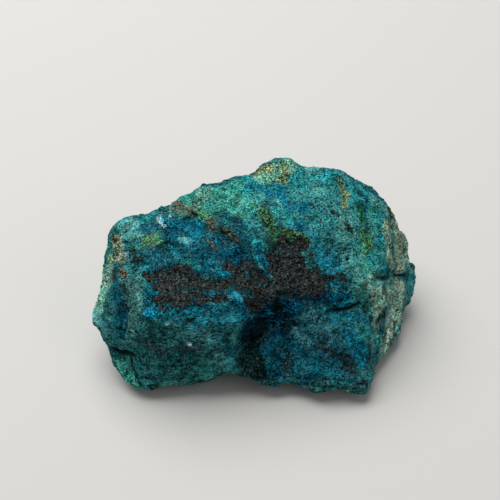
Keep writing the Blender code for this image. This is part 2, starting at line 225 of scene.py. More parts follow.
# Patches in the order that they cover each other: mineral, softness of the edge (share of the half
# width), then strokes, each a half width and the points that it runs through.
PATCHES = [
    ("sea teal", 0.5, [
        (7.2, [(23, 15, 37), (24, 5, 36), (24, -3, 32), (25, -9, 29)]),
        (6.5, [(12, 14, 40), (14, 6, 38), (16, 0, 35)]),
        (4.5, [(3, 11, 39), (1, 4, 39), (-2, 1, 38)]),
    ]),
    ("blue mottle", 0.5, [
        (7, [(-25, 0, 34), (-17, -3, 34), (-10, -6, 32)]),
        (4.5, [(-30, -5, 32), (-27, -8, 31)]),
        (2.8, [(-6, -1, 36), (-3, -5, 34)]),
    ]),
    ("striated", 0.5, [
        (5, [(-32, -23, 20), (-24, -25, 20), (-13, -24, 19)]),
        (5, [(-33, -26, 10), (-24, -27, 12), (-16, -27, 12)]),
        (3, [(-9, -23, 21), (-5, -21, 23)]),
    ]),
    ("toe blue", 0.5, [
        (5.6, [(7, -22, 13), (14, -23, 13), (20, -23, 13)]),
        (4, [(6, -26, 7), (14, -28, 8), (22, -28, 9)]),
    ]),
    ("beige green", 0.5, [
        (4.4, [(38, -4, 17), (40, -3, 12), (38, -10, 9)]),
        (2.6, [(37.5, -13, 8), (35, -17, 4.5)]),
        (2.4, [(41, 11, 24), (42, 5, 20)]),
        (1.2, [(44, 6, 17), (45.5, 6.5, 13)]),
        (1.6, [(-41.5, -2.5, 30), (-42, -9, 25)]),
        (3, [(32, -9, 24), (34, -11, 20), (33, -14, 17)]),
        (2.4, [(37, -12, 10), (36, -16, 6)]),
    ]),
    # Navy with painted shade in the recess under the roof's edge.
    ("recess navy with painted shade", 0.5, [
        (3.4, [(1, -17, 23), (3, -18, 17), (6, -18, 24)]),
        (2.8, [(-1, -18, 19), (-2, -21, 13)]),
        (1.4, [(7, -19, 17), (10, -19, 20)]),
        (1.5, [(10, -15.5, 28.5), (16, -15, 27)]),
    ]),
    # Black mineral with painted shade in the crevice between the blocks.
    ("web black with painted shade", 0.5, [
        (2.8, [(-3, -23, 12), (-3, -26, 9.5), (-0.5, -27, 7)]),
        (2.4, [(-0.5, -21, 12), (1, -24.5, 8.5), (2.5, -27.5, 6)]),
    ]),
    ("dark teal", 0.6, [
        (2.2, [(-39, -12, 26), (-38, -18, 24), (-38, -20, 18)]),
        (2, [(-42, -17, 11), (-38, -21, 12)]),
        (1.8, [(-32, -26, 10), (-30, -27, 8)]),
        (1.5, [(16, -28, 7), (22, -29, 8)]),
        (1.8, [(-30, 9, 35), (-25, 10, 35)]),
        (2.4, [(20, 0, 34), (22, -2, 33)]),
        (2.0, [(17, -3, 34), (19, -7, 31.5)]),
        (1.5, [(7, 3, 37.5), (10, 0.5, 37.5)]),
    ]),
    ("navy", 0.6, [
        (1.2, [(-37, -16, 26), (-37, -20, 21)]),
    ]),
    ("moss grey", 0.6, [
        (1.8, [(-34, -12, 30), (-33, -17, 27), (-34, -22, 21)]),
    ]),
    ("green teal", 0.6, [
        (1.6, [(-16, -27, 12), (-12, -26.5, 11.5)]),
        (1.1, [(-27, -28, 6), (-19, -28, 6), (-13, -27, 8)]),
        (1.5, [(-35, -23, 10), (-35, -26, 7), (-33, -28, 5)]),
        (1.0, [(17, -30, 4.5), (22, -30, 4), (27, -30, 4.5)]),
        (0.8, [(4, -29, 4), (11, -30, 4)]),
        (1.4, [(-40, 3, 33), (-42, -1, 30), (-43, -6, 26)]),
    ]),
    ("spring teal", 0.5, [
        (3.8, [(-19, 11, 38), (-14, 11, 39), (-10, 11, 39), (-4, 14, 40)]),
        (2, [(29, -1, 30), (30, -5, 27)]),
    ]),
    ("spring bright", 0.6, [
        (2.6, [(-6, 10, 39), (-3, 7, 39), (-7, 5, 38)]),
        (1.8, [(-12, 10, 39), (-9, 12, 39)]),
    ]),
    ("dull green", 0.6, [
        (2, [(-17, 10, 38), (-15, 13, 39)]),
        (1.5, [(-24, 10, 36), (-20, 8, 37)]),
    ]),
    ("turquoise", 0.6, [
        (2, [(-3, 17, 40), (-1, 14, 41), (-3, 13, 40)]),
        (2.5, [(11, 16, 41), (14, 20, 40), (19, 20, 39)]),
        (1.5, [(4, 6, 39), (7, 5, 38), (9, 3, 37)]),
        (2.2, [(26, 18, 36), (25, 12, 37)]),
        (2.5, [(30, 15, 35), (34, 11, 32), (36, 5, 30)]),
        (2.2, [(33, 1, 30), (32, -2, 28), (33, -4, 26)]),
        (2, [(-37, 7, 34), (-31, 8, 35)]),
        (1.4, [(-21, -7, 32), (-17, -8.5, 32)]),
        (1.4, [(-5, 2, 38), (-3, 0, 37)]),
        (1.4, [(-1, -4, 36), (-1, -8, 33)]),
        (1.4, [(-31, -10, 30), (-30, -13, 30)]),
        (1.4, [(27, -20, 16), (30, -18, 16)]),
        (1.7, [(44, 6, 14), (45, 4, 8)]),
    ]),
    ("pale teal", 0.7, [
        (1.2, [(1.5, 11, 40.5), (4, 10.5, 39.5), (6, 10, 39)]),
        (1.6, [(33.5, 15, 33.5), (36, 14.5, 31.5)]),
        (1.3, [(27, -10, 26.5), (30, -11.5, 24), (32, -12, 22)]),
        (1.1, [(31.5, -9, 25.5), (35, -6, 23), (38.5, -3, 19)]),
        (1.2, [(31.5, -19, 15), (34, -16.5, 10)]),
        (1.2, [(-44, -12.5, 20), (-44.5, -15, 17.5), (-43, -17, 14)]),
        (1.3, [(-38.5, 2.5, 32.5), (-36, 2, 33), (-33.5, 2, 33)]),
        (1.3, [(24.5, 4.5, 35.5), (25.5, 1, 34)]),
        (2.2, [(24, 7, 36), (23, 1, 35)]),
        (2.2, [(25, -5, 30), (27, -7, 28)]),
        (1.4, [(15, 13, 39), (17, 14, 39)]),
        (1, [(-32, -16, 29), (-32, -19, 27)]),
    ]),
    ("bright blue", 0.6, [
        (1.3, [(-2, 14, 40), (1, 13, 41), (3, 12, 40)]),
        (1.4, [(6, 13, 40), (7, 10, 39), (9, 7, 39)]),
        (1.4, [(11, 8, 39), (13, 8, 38)]),
        (1.3, [(-27, 5, 35), (-24, 4.5, 35)]),
        (1.3, [(25.5, -20.5, 16), (27, -22, 14.5), (29, -22, 11.5)]),
        (1.2, [(10, 2, 37), (13, 0, 36), (15, -2, 35)]),
        (1.4, [(16, -4, 34), (17, -6, 32), (20, -7, 30)]),
        (1.2, [(19, -9, 30), (20, -12, 28)]),
        (1.7, [(-21, 5, 34), (-17, 4, 35), (-18, 1, 34)]),
        (1.4, [(-15, 0, 34), (-12, 0, 33)]),
        (1.8, [(-14, -9, 32), (-10, -9, 31), (-8, -11, 31)]),
        (1.4, [(-6, -3, 32), (-5, -6, 31)]),
        (1.8, [(-29, -14, 30), (-28, -19, 29), (-29, -22, 27)]),
        (1.7, [(24, -18.5, 18.5), (25.5, -21, 15.5), (27.5, -24, 11)]),
        (1.4, [(-5, -16, 29), (-5, -18, 28)]),
        (1.2, [(-18, -21, 29), (-18, -22, 28)]),
    ]),
    ("deep blue", 0.6, [
        (2.3, [(-12, -4, 33), (-8, -5, 32.5)]),
        (1.5, [(-6, -19, 28), (-4, -20, 22)]),
        (1.1, [(1.5, -16.5, 25.5), (2.5, -17.5, 20.5)]),
        (1.6, [(8, -18.5, 24), (10, -18, 26)]),
        (1.8, [(19, -15.5, 26), (23, -14, 25)]),
        (1.2, [(-0.5, -5, 35), (1, -8.5, 33), (1, -12.5, 31)]),
    ]),
    ("teal blue", 0.6, [
        (1.8, [(-26, -23, 27), (-21, -23, 27)]),
        (2.3, [(-17, -23, 27), (-12, -22, 27), (-6, -21, 24)]),
        (1.8, [(1, -21, 12), (5, -21, 14)]),
        (1.8, [(3, -24, 9), (4, -26, 6)]),
        (2, [(19, -17, 22), (25, -17, 20), (28, -17, 19)]),
        (1.8, [(11, -25, 11), (16, -26, 10), (21, -28, 9)]),
    ]),
    ("petrol", 0.6, [
        (1.4, [(-9, -25, 15.5), (-7, -23.5, 14.5)]),
        (1.2, [(-11.5, -23.5, 21.5), (-8.5, -23.5, 18.5)]),
        (1.3, [(-11.5, -7.5, 32), (-9, -8.5, 31.5)]),
        (1.3, [(-14.5, -1.5, 34), (-12, -3, 33)]),
        (1.2, [(19, -4, 33), (21, -6, 31)]),
        (1.2, [(21, -11.5, 28.5), (23, -12.5, 27)]),
        (1.1, [(28, 16, 36), (30, 14.5, 35.5)]),
        (1.1, [(-16, -19.5, 28.5), (-14, -21, 28)]),
        (1.0, [(-1.5, 0, 37), (-1, -2.5, 36)]),
        (1.3, [(-9, 4.5, 38), (-5.5, 2, 38), (-4, -0.5, 37)]),
        (1.0, [(-14.5, 4.5, 37), (-10.5, 2.5, 37)]),
        (1.1, [(-4, -2, 36.5), (-3, -5.5, 34.5), (-2.5, -7.5, 33)]),
        (1.2, [(-25.5, -4, 32), (-21.5, -6, 32)]),
    ]),
    ("pale cyan", 0.6, [
        (1.6, [(-38, 5, 34), (-35, 5, 34)]),
        (1, [(13, 21, 41), (17, 22, 39)]),
        (1.4, [(-44, -8, 23), (-44, -12, 19), (-44, -14, 17)]),
    ]),
    ("cyan", 0.6, [
        (1.1, [(-24, -3, 32), (-22, -5, 32)]),
        (0.9, [(-20, -2, 34), (-19, -2, 34)]),
        (1.2, [(-15, -23, 27), (-8, -21, 25)]),
        (1.3, [(-6, -17, 29.5), (-4, -17, 28.5)]),
        (1.2, [(18, -17, 22.5), (20.5, -18, 21.5)]),
    ]),
    ("peak green", 0.6, [
        (2.0, [(0, 17, 42), (3, 17, 42), (6, 18, 43), (8, 20, 43)]),
        (1.4, [(-43, -6, 25), (-44, -12, 20)]),
    ]),
    ("petrol", 0.5, [
        (1.5, [(-39.5, -11, 28), (-38, -17, 24.5), (-37.5, -20.5, 18)]),
    ]),
    ("rim green", 0.5, [
        (1.8, [(-38, -23, 8), (-35, -27, 5)]),
        (0.35, [(-30, -28.5, 5.5), (-23, -28, 4.5), (-16.5, -27.5, 5.5), (-11, -27.5, 8.5)]),
        (0.5, [(14, -29.5, 5), (19.5, -29.5, 5), (25, -30.5, 5), (29.5, -29.5, 5)]),
    ]),
    ("toe shade", 0.6, [
        (1.1, [(3, -28.5, 6.5), (9, -29, 6.5)]),
        (1.1, [(15, -29.5, 6.5), (21, -29.5, 6.5)]),
    ]),
    ("grey teal", 0.7, [
        (2, [(13, -18, 22), (17, -20, 20), (19, -20, 16)]),
        (1.7, [(10, -19, 17), (13, -21, 15)]),
        (1.7, [(-17, -24, 23), (-12, -24, 20)]),
        (1.2, [(40, 6, 23), (42, 3, 19)]),
    ]),
    # Painted shadow in the deepest part of the recess.
    ("painted recess shadow", 0.6, [
        (1.7, [(1, -18, 19), (-0.5, -19, 15), (-2, -21, 12)]),
        (1.2, [(4.5, -16.5, 27), (4.5, -17.5, 22.5)]),
        (1.3, [(5, -15.5, 28.5), (8, -16, 28.5), (12, -16, 28)]),
    ]),
    # More navy with painted shade under the roof's edge.
    ("recess navy with painted shade", 0.5, [
        (1.5, [(11, -16, 28), (17, -15, 27)]),
    ]),
    ("beige", 0.6, [
        (2.4, [(39, 12, 28), (40, 8, 26), (40, 2, 21)]),
        (1.4, [(36, 9, 31), (36, 2, 29), (37, 0, 24)]),
        (1.2, [(31.5, -11.5, 23), (33, -13, 20)]),
        (1.3, [(-39, 2, 32), (-38.5, -1.5, 31.5), (-38, -5, 30.5)]),
    ]),
    # Pale beige made paler as painted light on the right flank.
    ("flank pale with painted light", 0.6, [
        (1.5, [(37.5, -8, 13), (37.5, -10, 10.5), (36, -14.5, 6.5)]),
        (1.0, [(39, -1.5, 16.5), (41, 0.5, 14)]),
    ]),
    ("brown grey", 0.7, [
        (2, [(-31, -24, 18), (-27, -25, 16)]),
        (1.4, [(-22, -26, 17.5), (-16.5, -26, 18)]),
        (1.4, [(17, -22, 15), (20, -24, 13)]),
        (1.3, [(23, -24, 11.5), (25.5, -26.5, 8.5)]),
        (1.4, [(7, -23, 12), (8, -25, 9)]),
        (1.4, [(33, -15, 17), (36, -12, 16)]),
    ]),
    ("olive brown", 0.6, [
        (1.2, [(38, 17, 30), (38, 14, 30)]),
    ]),
    ("dark olive", 0.35, [
        (1.8, [(1, 6, 39), (2, 3, 38), (3, 0, 38)]),
        (2.2, [(4.5, -3, 37), (8.5, -1.5, 37), (12, -2.5, 36)]),
    ]),
    ("yellow green", 0.5, [
        (2.4, [(-30.5, 0, 33), (-29, 0, 33)]),
    ]),
    ("leaf green", 0.35, [
        (1.5, [(-17, 6.5, 37.5), (-15, 5, 37.5)]),
        (1.5, [(29.5, 3, 33.5), (30, -0.5, 31)]),
    ]),
    ("leaf dark", 0.5, [
        (1.1, [(29, 11.5, 35), (29, 7, 34.5)]),
        (0.9, [(31.5, 13, 33.5), (32.5, 11, 33)]),
        (0.8, [(-35, -1, 32), (-34, -4.5, 31.5)]),
    ]),
    ("ochre", 0.5, [
        (0.9, [(23, 19, 38), (24, 15, 37), (24, 10, 37)]),
        (1.3, [(0.5, 19, 42), (3, 19, 43)]),
        (1.1, [(6.5, 20, 43), (7, 18, 42)]),
        (0.9, [(5.5, 16, 42), (7, 16, 41)]),
        (0.6, [(-41, -3, 30), (-40, -5, 30)]),
        (0.4, [(-7.5, -8.5, 31.5), (-7, -8.5, 31.5)]),
    ]),
    ("rust", 0.5, [
        (0.7, [(-37, -8, 29), (-36, -10, 29)]),
        (0.6, [(-40, 2, 32), (-39, 0, 32)]),
    ]),
    ("brown mottle", 0.8, [
        (1.4, [(-23.5, 10.5, 36.5), (-19, 7.5, 37)]),
        (1.2, [(-14, 4, 37.5), (-12, 2.5, 36.5)]),
        (1.3, [(-8.5, 0.5, 35.5), (-6.5, -2.5, 35.5)]),
        (0.7, [(-14.5, 0, 34), (-12.5, -3, 33)]),
    ]),
    ("blue glass", 0.5, [
        (1.7, [(2.5, -21, 13), (4.5, -23, 10.5)]),
    ]),
    ("pale cyan", 0.7, [
        (0.8, [(-21, -0.5, 34.5), (-20, -1.5, 34)]),
    ]),
    ("white", 0.4, [
        (0.6, [(-28, 6.5, 35.5), (-27, 4.5, 35)]),
        (0.5, [(-24.5, 7.5, 35), (-24, 7.5, 35)]),
        (0.35, [(-25, -23.5, 25), (-24.5, -23.5, 25)]),
        (0.3, [(-19, -25.5, 19), (-18.5, -25.5, 19)]),
    ]),
]

# The black crust: half width, points.
CRUST = [
    (3.2, [(-25, -12, 30), (-21, -13, 30.5)]),
    (2.1, [(-27, -12.5, 30), (-26.5, -16, 30)]),
    (1.5, [(-30, -10.5, 30.5), (-29.5, -12.5, 30)]),
    (1.3, [(-5, -7, 31.5), (-2, -9, 32)]),
    (1.2, [(21.5, -9, 29.5), (23, -10.5, 28)]),
    (3.0, [(-25.5, -18.5, 30), (-21, -18.5, 30)]),
    (2.2, [(-21.5, -10, 31), (-20, -10.5, 31.5)]),
    (1.9, [(-18, -15, 31), (-9, -14, 30)]),
    (1.5, [(-26, -15.5, 30), (-19, -16.5, 30.5)]),
    (1.8, [(-16, -18.5, 30), (-10.5, -17.5, 29.5)]),
    (3.0, [(7, -5, 35), (10, -4.5, 34.5)]),
    (3.9, [(6.5, -8.5, 33), (10.5, -8, 32.5)]),
    (1.6, [(3.5, -8, 33), (3, -10.5, 31.5)]),
    (3.9, [(6.5, -12, 31), (12.5, -11, 30)]),
    (2.7, [(12.5, -10, 30.5), (17, -12, 29)]),
    (1.6, [(11, -15, 29), (16, -14, 28)]),
    (1.9, [(-7.5, -9, 31.5), (-4, -10, 32)]),
    (2.5, [(-5, -12, 30.5), (1, -13, 30)]),
    (2.6, [(-0.5, -14.5, 29.5), (1, -16.5, 27)]),
    (1.8, [(-3, -17.5, 27.5), (1, -17, 24)]),
    (0.8, [(-19, 7.5, 37), (-17, 6, 37)]),
    (1.0, [(-10, 1, 35.5), (-8, 0, 35.5), (-7.5, -1.5, 35)]),
    (1.3, [(-35, -3, 31.5), (-33.5, -5, 31.5)]),
    (0.7, [(-26, -5, 32), (-24.5, -3.5, 32)]),
    (0.8, [(-19, -22, 28), (-18, -23, 26)]),
    (0.7, [(15.5, 8.5, 38.5), (16, 8, 38.5)]),
    (0.7, [(20.5, 6.5, 37), (22, 6, 36.5)]),
    (0.8, [(24.5, 4.5, 36), (25.5, 1.5, 34.5)]),
    (0.6, [(24.5, -4, 31), (24.5, -6, 30)]),
    (0.6, [(25, 18.5, 37.5), (25.5, 18, 37.5)]),
    (0.6, [(31.5, 14.5, 34), (32, 13.5, 34)]),
    (0.7, [(29, -14, 21), (30, -17, 17)]),
]

# ---------------------------------------------------------------- skin


def apply_modifiers(obj):
    """Puts the evaluated mesh in place of the object's own."""
    graph = bpy.context.evaluated_depsgraph_get()
    mesh = bpy.data.meshes.new_from_object(obj.evaluated_get(graph))
    obj.modifiers.clear()
    obj.data = mesh


def fine_skin(solid):
    """A copy of the solid with an even, finer mesh and no facets."""
    skin = bpy.data.objects.new("stone_skin", solid.data.copy())
    bpy.context.scene.collection.objects.link(skin)
    skin.data.materials.clear()
    remesh = skin.modifiers.new("even mesh", "REMESH")
    remesh.mode = "VOXEL"
    remesh.voxel_size = SKIN_STEP * MM
    smooth = skin.modifiers.new("facets away", "SMOOTH")
    smooth.factor = SKIN_SMOOTHING
    smooth.iterations = SKIN_PASSES
    apply_modifiers(skin)
    return skin


def coordinates(mesh, what):
    """The mesh's points ("co") or normals ("normal") as an array, a row each."""
    values = np.empty(len(mesh.vertices) * 3)
    mesh.vertices.foreach_get(what, values)
    return values.reshape(-1, 3)


def at_each(points, function):
    """The function's value at each point."""
    return np.array([function(Vector(point)) for point in points])


def from_line(points, normals, line):
    """How far each point is from the line, measured along the skin, and which side it lies on.

    The side is 1 on the left of the line, seen from outside, and -1 on its right.
    """
    nearest = np.full(len(points), np.inf)
    side = np.ones(len(points))
    for start, end in zip(line, line[1:]):
        start, end = np.array(start, float), np.array(end, float)
        along = end - start
        part = np.clip((points - start) @ along / (along @ along), 0, 1)
        away = points - start - part[:, None] * along
        off_skin = (away * normals).sum(axis=1)
        distance = np.sqrt(np.maximum((away * away).sum(axis=1) - off_skin * off_skin, 0))
        closer = (distance < nearest) & (np.abs(off_skin) < OFF_SKIN)
        left = (np.cross(normals, along) * away).sum(axis=1)
        side[closer] = np.where(left > 0, 1, -1)[closer]
        nearest[closer] = distance[closer]
    return nearest, side


def ease(values, low, high):
    """0 below low, 1 above high, and smooth between them."""
    part = np.clip((values - low) / (high - low), 0, 1)
    return part * part * (3 - 2 * part)


def drift_of(point):
    """A vector that changes smoothly from place to place, at most about 1 each way."""
    return Vector([noise.noise(point + shift) for shift in DRIFT_SHIFTS])


def broken_facets(point):
    """Small flat breaks at several sizes: each cell tilts its own way, with a step to the next."""
    height = 0.0
    for span, tilt in BREAKS:
        place = point / span + Vector((span, 0, 0)) + BREAK_DRIFT * drift_of(point / span)
        _, centres = noise.voronoi(place)
        lean = noise.cell_vector(TILT_SEED * centres[0]) - HALF
        height += tilt * span * (place - centres[0]).dot(lean)
    return height


def sugar(point):
    """The small lumps of the grain."""
    return SUGAR_HEIGHT * noise.fractal(point / SUGAR_SPAN, *SUGAR_OCTAVES)


def beds(point):
    """Thin, nearly level beds, from -0.5 to 0.5, that fade out in places."""
    wave = BED_WAVE_HEIGHT * noise.noise(point / BED_WAVE_SPAN)
    level = point.z + BED_FALL * point.x + wave
    rise = (level / BED_PITCH) % 1.0
    step = rise / BED_LIP if rise < BED_LIP else (1 - rise) / (1 - BED_LIP)
    gaps = noise.noise(point / BED_GAP_SPAN + BED_GAP_SHIFT)
    return (step - 0.5) * min(1.0, max(0.0, BED_CLEAR + BED_CLEAR_SWING * gaps))


def streakiness(point):
    """How strongly the beds streak the grain at a point, before its limits."""
    return STREAKS_CLEAR + STREAKS_SWING * noise.noise(point / STREAKS_SPAN)


def ragged(points):
    """The points, moved about by up to about a millimetre, so that a patch's edge is uneven."""
    moved = []
    for point in points:
        point = Vector(point)
        wander = Vector((0, 0, 0))
        for span, reach in EDGE_WANDER:
            wander += reach * drift_of(point / span)
        moved.append(point + wander)
    return np.array(moved)


def crust_cover(loose, normals):
    """How far inside the black crust a point is: 1 in the middle, 0.5 at the edge, 0 outside."""
    cover = np.zeros(len(loose))
    for half_width, line in CRUST:
        distance, _ = from_line(loose, normals, line)
        strength = min(1.0, THIN_CRUST + CRUST_GAIN * half_width)
        cover = np.maximum(cover, strength - CRUST_FADE * distance / half_width)
    return np.clip(cover, 0, 1)


def along_lines(points, normals, lines):
    """The height of ridges along the lines: full on the line, none at the half width."""
    height = np.zeros(len(points))
    for half_width, top, line in lines:
        distance, _ = from_line(points, normals, line)
        height = np.maximum(height, top * (1 - ease(distance, 0, half_width)))
    return height


def scarps(points, normals):
    """The steps: up on the left of each line and down on its right, fading over the reach."""
    height = np.zeros(len(points))
    for reach, rise, line in SCARPS:
        distance, side = from_line(points, normals, line)
        step = ease(side * distance, -SCARP_EDGE, SCARP_EDGE) * 2 - 1
        height += rise * step * np.clip(1 - distance / reach, 0, 1)
    return height


# ---------------------------------------------------------------- paint


def linear(colour):
    """An sRGB colour, 0 to 255, as linear light."""
    colour = np.array(colour) / 255
    return np.where(colour <= 0.04045, colour / 12.92, ((colour + 0.055) / 1.055) ** 2.4)


def look_of(mineral):
    """Linear red, green and blue, the share of speckle and the share of pale grains."""
    colour, speckle, pale = MINERALS[mineral]
    return np.array([*linear(colour), speckle, pale])


def drifts(points, field):
    """The field's noise at each point."""
    span, shift = field
    return at_each(points, lambda point: noise.fractal(point / span + shift, *FIELD_OCTAVES))


def bare_ground(points):
    """The minerals where no patch is drawn: broad drifts of teal, blue, green and dark rock."""
    broad = drifts(points, BROAD_FIELD)
    small = drifts(points, SMALL_FIELD)
    looks = look_of(BASE_MINERAL)[None, :].repeat(len(points), axis=0)
    for mineral, field, low, high in [
        ("sea teal", broad, 0.0, 0.25),
        ("green teal", small, 0.15, 0.4),
        ("blue mottle", -broad, 0.1, 0.35),
        ("grey teal", -small, 0.2, 0.45),
        ("brown grey", broad - small, 0.45, 0.7),
    ]:
        cover = ease(field, low, high)[:, None]
        looks = looks + cover * (look_of(mineral) - looks)
    return looks


def minerals_at(points, loose, normals):
    """The look at each point, a row of five numbers as in look_of. Loose are the ragged points."""
    looks = bare_ground(points)
    for mineral, softness, strokes in PATCHES:
        cover = np.zeros(len(points))
        for half_width, line in strokes:
            distance, _ = from_line(loose, normals, line)
            inside = 1 - ease(distance / half_width, 1 - softness, 1 + softness)
            cover = np.maximum(cover, inside)
        looks += cover[:, None] * (look_of(mineral) - looks)
    return looks


def store(mesh, name, values):
    """Keeps a number for each of the mesh's points, for the material to read."""
    attribute = mesh.attributes.new(name, "FLOAT", "POINT")
    attribute.data.foreach_set("value", values.astype(np.float32))


def store_colour(mesh, name, colours):
    """Keeps a linear colour for each of the mesh's points."""
    attribute = mesh.attributes.new(name, "FLOAT_COLOR", "POINT")
    opaque = np.ones((len(colours), 4), np.float32)
    opaque[:, :3] = colours
    attribute.data.foreach_set("color", opaque.ravel())


def carve_and_paint(skin):
    """Moves the skin's points by the relief, and stores what the material reads."""
    mesh = skin.data
    points = coordinates(mesh, "co") / MM
    normals = coordinates(mesh, "normal")
    steepness = 1 - np.abs(normals[:, 2])
    loose = ragged(points)
    crust = crust_cover(loose, normals)
    in_crust = ease(crust, *CRUST_EDGE)
    ridges = along_lines(points, normals, RIDGES)
    furrows = along_lines(points, normals, FURROWS)
    steps = scarps(points, normals)
    grain = at_each(points, sugar) + at_each(points, broken_facets)
    bedding = at_each(points, beds)

    height = (grain + BED_HEIGHT * bedding * steepness) * (1 - CRUST_HIDES * in_crust)
    height += ridges + steps - furrows - CRUST_DROP * in_crust
    deep, _ = from_line(points, normals, RECESS)
    height -= RECESS_DEPTH * (1 - ease(deep, 0, RECESS_REACH))

    looks = minerals_at(points, loose, normals)
    store_colour(mesh, "ground", looks[:, :3])
    store(mesh, "speckle", looks[:, 3])
    store(mesh, "pale_grains", looks[:, 4])
    store(mesh, "crust", crust)
    # The hollow mask: painted shade in the grain's hollows, in furrows and at the foot of scarps.
    furrow_shade = FURROW_SHADE * ease(furrows - SCARP_SHARE * steps, *FURROW_DEPTHS)
    store(mesh, "hollow", np.maximum(ease(-grain, *HOLLOW_DEPTHS), furrow_shade))
    store(mesh, "worn", ease(ridges + steps, *WORN_HEIGHTS))
    streaks = np.clip(at_each(points, streakiness), LEAST_STREAKS, 1)
    store(mesh, "bedded", ease(steepness, *STEEP) * streaks)

    low, high = points.min(axis=0), points.max(axis=0)
    points = np.clip(points + normals * height[:, None], low, high)
    mesh.vertices.foreach_set("co", (points * MM).ravel())
    mesh.update()
    mesh.shade_smooth()


# ---------------------------------------------------------------- node trees

# A Mix node's sockets for colours.
MIX_FIRST = 6
MIX_SECOND = 7
MIX_RESULT = 2


class Shader:
    """A material's node tree, with short calls for the nodes that the stone needs."""

    def __init__(self, name):
        self.material = bpy.data.materials.new(name)
        self.material.use_nodes = True
        self.tree = self.material.node_tree
        self.surface = self.tree.nodes["Principled BSDF"]

    def node(self, kind, inputs=(), **settings):
        """A new node. An input is a value, or an output to link."""
        node = self.tree.nodes.new(kind)
        for key, value in settings.items():
            setattr(node, key, value)
        for key, value in dict(inputs).items():
            self.feed(node.inputs[key], value)
        return node

    def feed(self, socket, value):
        """Sets the socket to the value, or links it to the output."""
        if isinstance(value, bpy.types.NodeSocket):
            self.tree.links.new(value, socket)
        else:
            socket.default_value = value

    def attribute(self, name):
        """What the mesh stores under the name."""
        node = self.node("ShaderNodeAttribute", attribute_name=name)
        return node.outputs["Color" if name == "ground" else "Fac"]

    def math(self, operation, first, second=0.0, clamp=False):
        inputs = {0: first, 1: second}
        return self.node("ShaderNodeMath", inputs, operation=operation, use_clamp=clamp).outputs[0]

    def plus(self, first, second):
        return self.math("ADD", first, second)

    def minus(self, first, second):
        return self.math("SUBTRACT", first, second)

    def times(self, first, second, clamp=False):
        return self.math("MULTIPLY", first, second, clamp)

    def between(self, value, low, high, to_low=0.0, to_high=1.0):
        """The value's place between low and high, eased, taken to the new range."""
        inputs = {"Value": value, "From Min": low, "From Max": high}
        inputs.update({"To Min": to_low, "To Max": to_high})
        node = self.node("ShaderNodeMapRange", inputs, interpolation_type="SMOOTHSTEP")
        return node.outputs[0]

    def mix(self, part, first, second, blend="MIX"):
        """The first colour where the part is 0, the second (or its blend) where it is 1."""
        node = self.node("ShaderNodeMix", data_type="RGBA", blend_type=blend)
        self.feed(node.inputs["Factor"], part)
        self.feed(node.inputs[MIX_FIRST], first)
        self.feed(node.inputs[MIX_SECOND], second)
        return node.outputs[MIX_RESULT]

    def tinted(self, colour, by):
        """The colour times a tint or a number."""
        return self.mix(1.0, colour, by, "MULTIPLY")

    def noise(self, place, span, detail=2.0, rough=0.5):
        """Cloudy noise, about 0.5 in the middle, with lumps of about the span in millimetres."""
        inputs = {"Vector": place, "Scale": 1 / span, "Detail": detail, "Roughness": rough}
        return self.node("ShaderNodeTexNoise", inputs).outputs["Fac"]

    def cells(self, place, span):
        """Two random values for each grain of about the span."""
        node = self.node("ShaderNodeTexVoronoi", {"Vector": place, "Scale": 1 / span})
        split = self.node("ShaderNodeSeparateColor", {"Color": node.outputs["Color"]})
        return split.outputs[0], split.outputs[1]

    def place_in_mm(self, shift=(0, 0, 0), stretch=(1, 1, 1)):
        """The place on the stone in millimetres, squeezed and shifted."""
        where = self.node("ShaderNodeTexCoord").outputs["Object"]
        inputs = {"Vector": where, "Scale": [s / MM for s in stretch], "Location": shift}
        return self.node("ShaderNodeMapping", inputs).outputs[0]

    def warped(self, place, span, reach):
        """The place, moved about within the reach."""
        wander = self.node("ShaderNodeTexNoise", {"Vector": place, "Scale": 1 / span})
        inputs = {0: wander.outputs["Color"], 1: (reach,) * 3, 2: place}
        return self.node("ShaderNodeVectorMath", inputs, operation="MULTIPLY_ADD").outputs[0]

    def by_share(self, share, value, other):
        """The value where the share is 0, the other where it is 1, and a blend between."""
        rest = self.minus(1.0, share)
        return self.plus(self.times(value, rest), self.times(other, share))


def solid_colour(colour):
    """An sRGB colour, 0 to 255, as a socket takes it."""
    return (*linear(colour), 1)


# ---------------------------------------------------------------- the stone's material

# Tints, which multiply the linear colour under them. The second of a pair is for bedded faces.
BLUER = (0.3, 0.95, 1.08, 1)
GREENER = (1.3, 1.06, 0.9, 1)
DARK_GRAIN = ((0.03, 0.14, 0.17, 1), (0.0, 0.03, 0.04, 1))
PALE_GRAIN = ((2.7, 2.5, 2.4, 1), (3.4, 3.2, 3.1, 1))
PIT_TINT = (0.1, 0.14, 0.16, 1)
THREAD_TINT = (2.2, 1.9, 1.8, 1)

# Colours, sRGB from 0 to 255.
BROWN_SPECK = (44, 40, 36)
THREAD_COLOUR = (112, 192, 188)
# A painted glint on a tiny crystal.
PAINTED_GLINT = (175, 215, 210)
# Painted shade in hollows, furrows and at the foot of scarps.
HOLLOW_SHADE = (4, 18, 24)
WORN_EDGE = (84, 165, 150)
CRUST_GREY = (36, 43, 44)
CRUST_BROWN = (44, 43, 40)
CRUST_SPECK = (92, 106, 102)

# How strong each effect is.
GRAIN_HUE = 0.3  # how far a grain's own hue departs from its neighbours'
THREAD_STRENGTH = 1.7
THREAD_PALLOR = 0.35  # share of the thread colour, the rest being the ground made lighter
# Strength of the painted shade in hollows.
HOLLOW_SHADE_STRENGTH = 0.5
CRUST_FRAY = 1.6
CRUST_GRAIN = 0.6  # share of its grains in the crust's tone, the rest being sparkle

THREAD_WIDTH = 0.08  # how far from a thread's middle the noise value still belongs to it
THREAD_CORE = 0.4  # share of that width that is a full thread

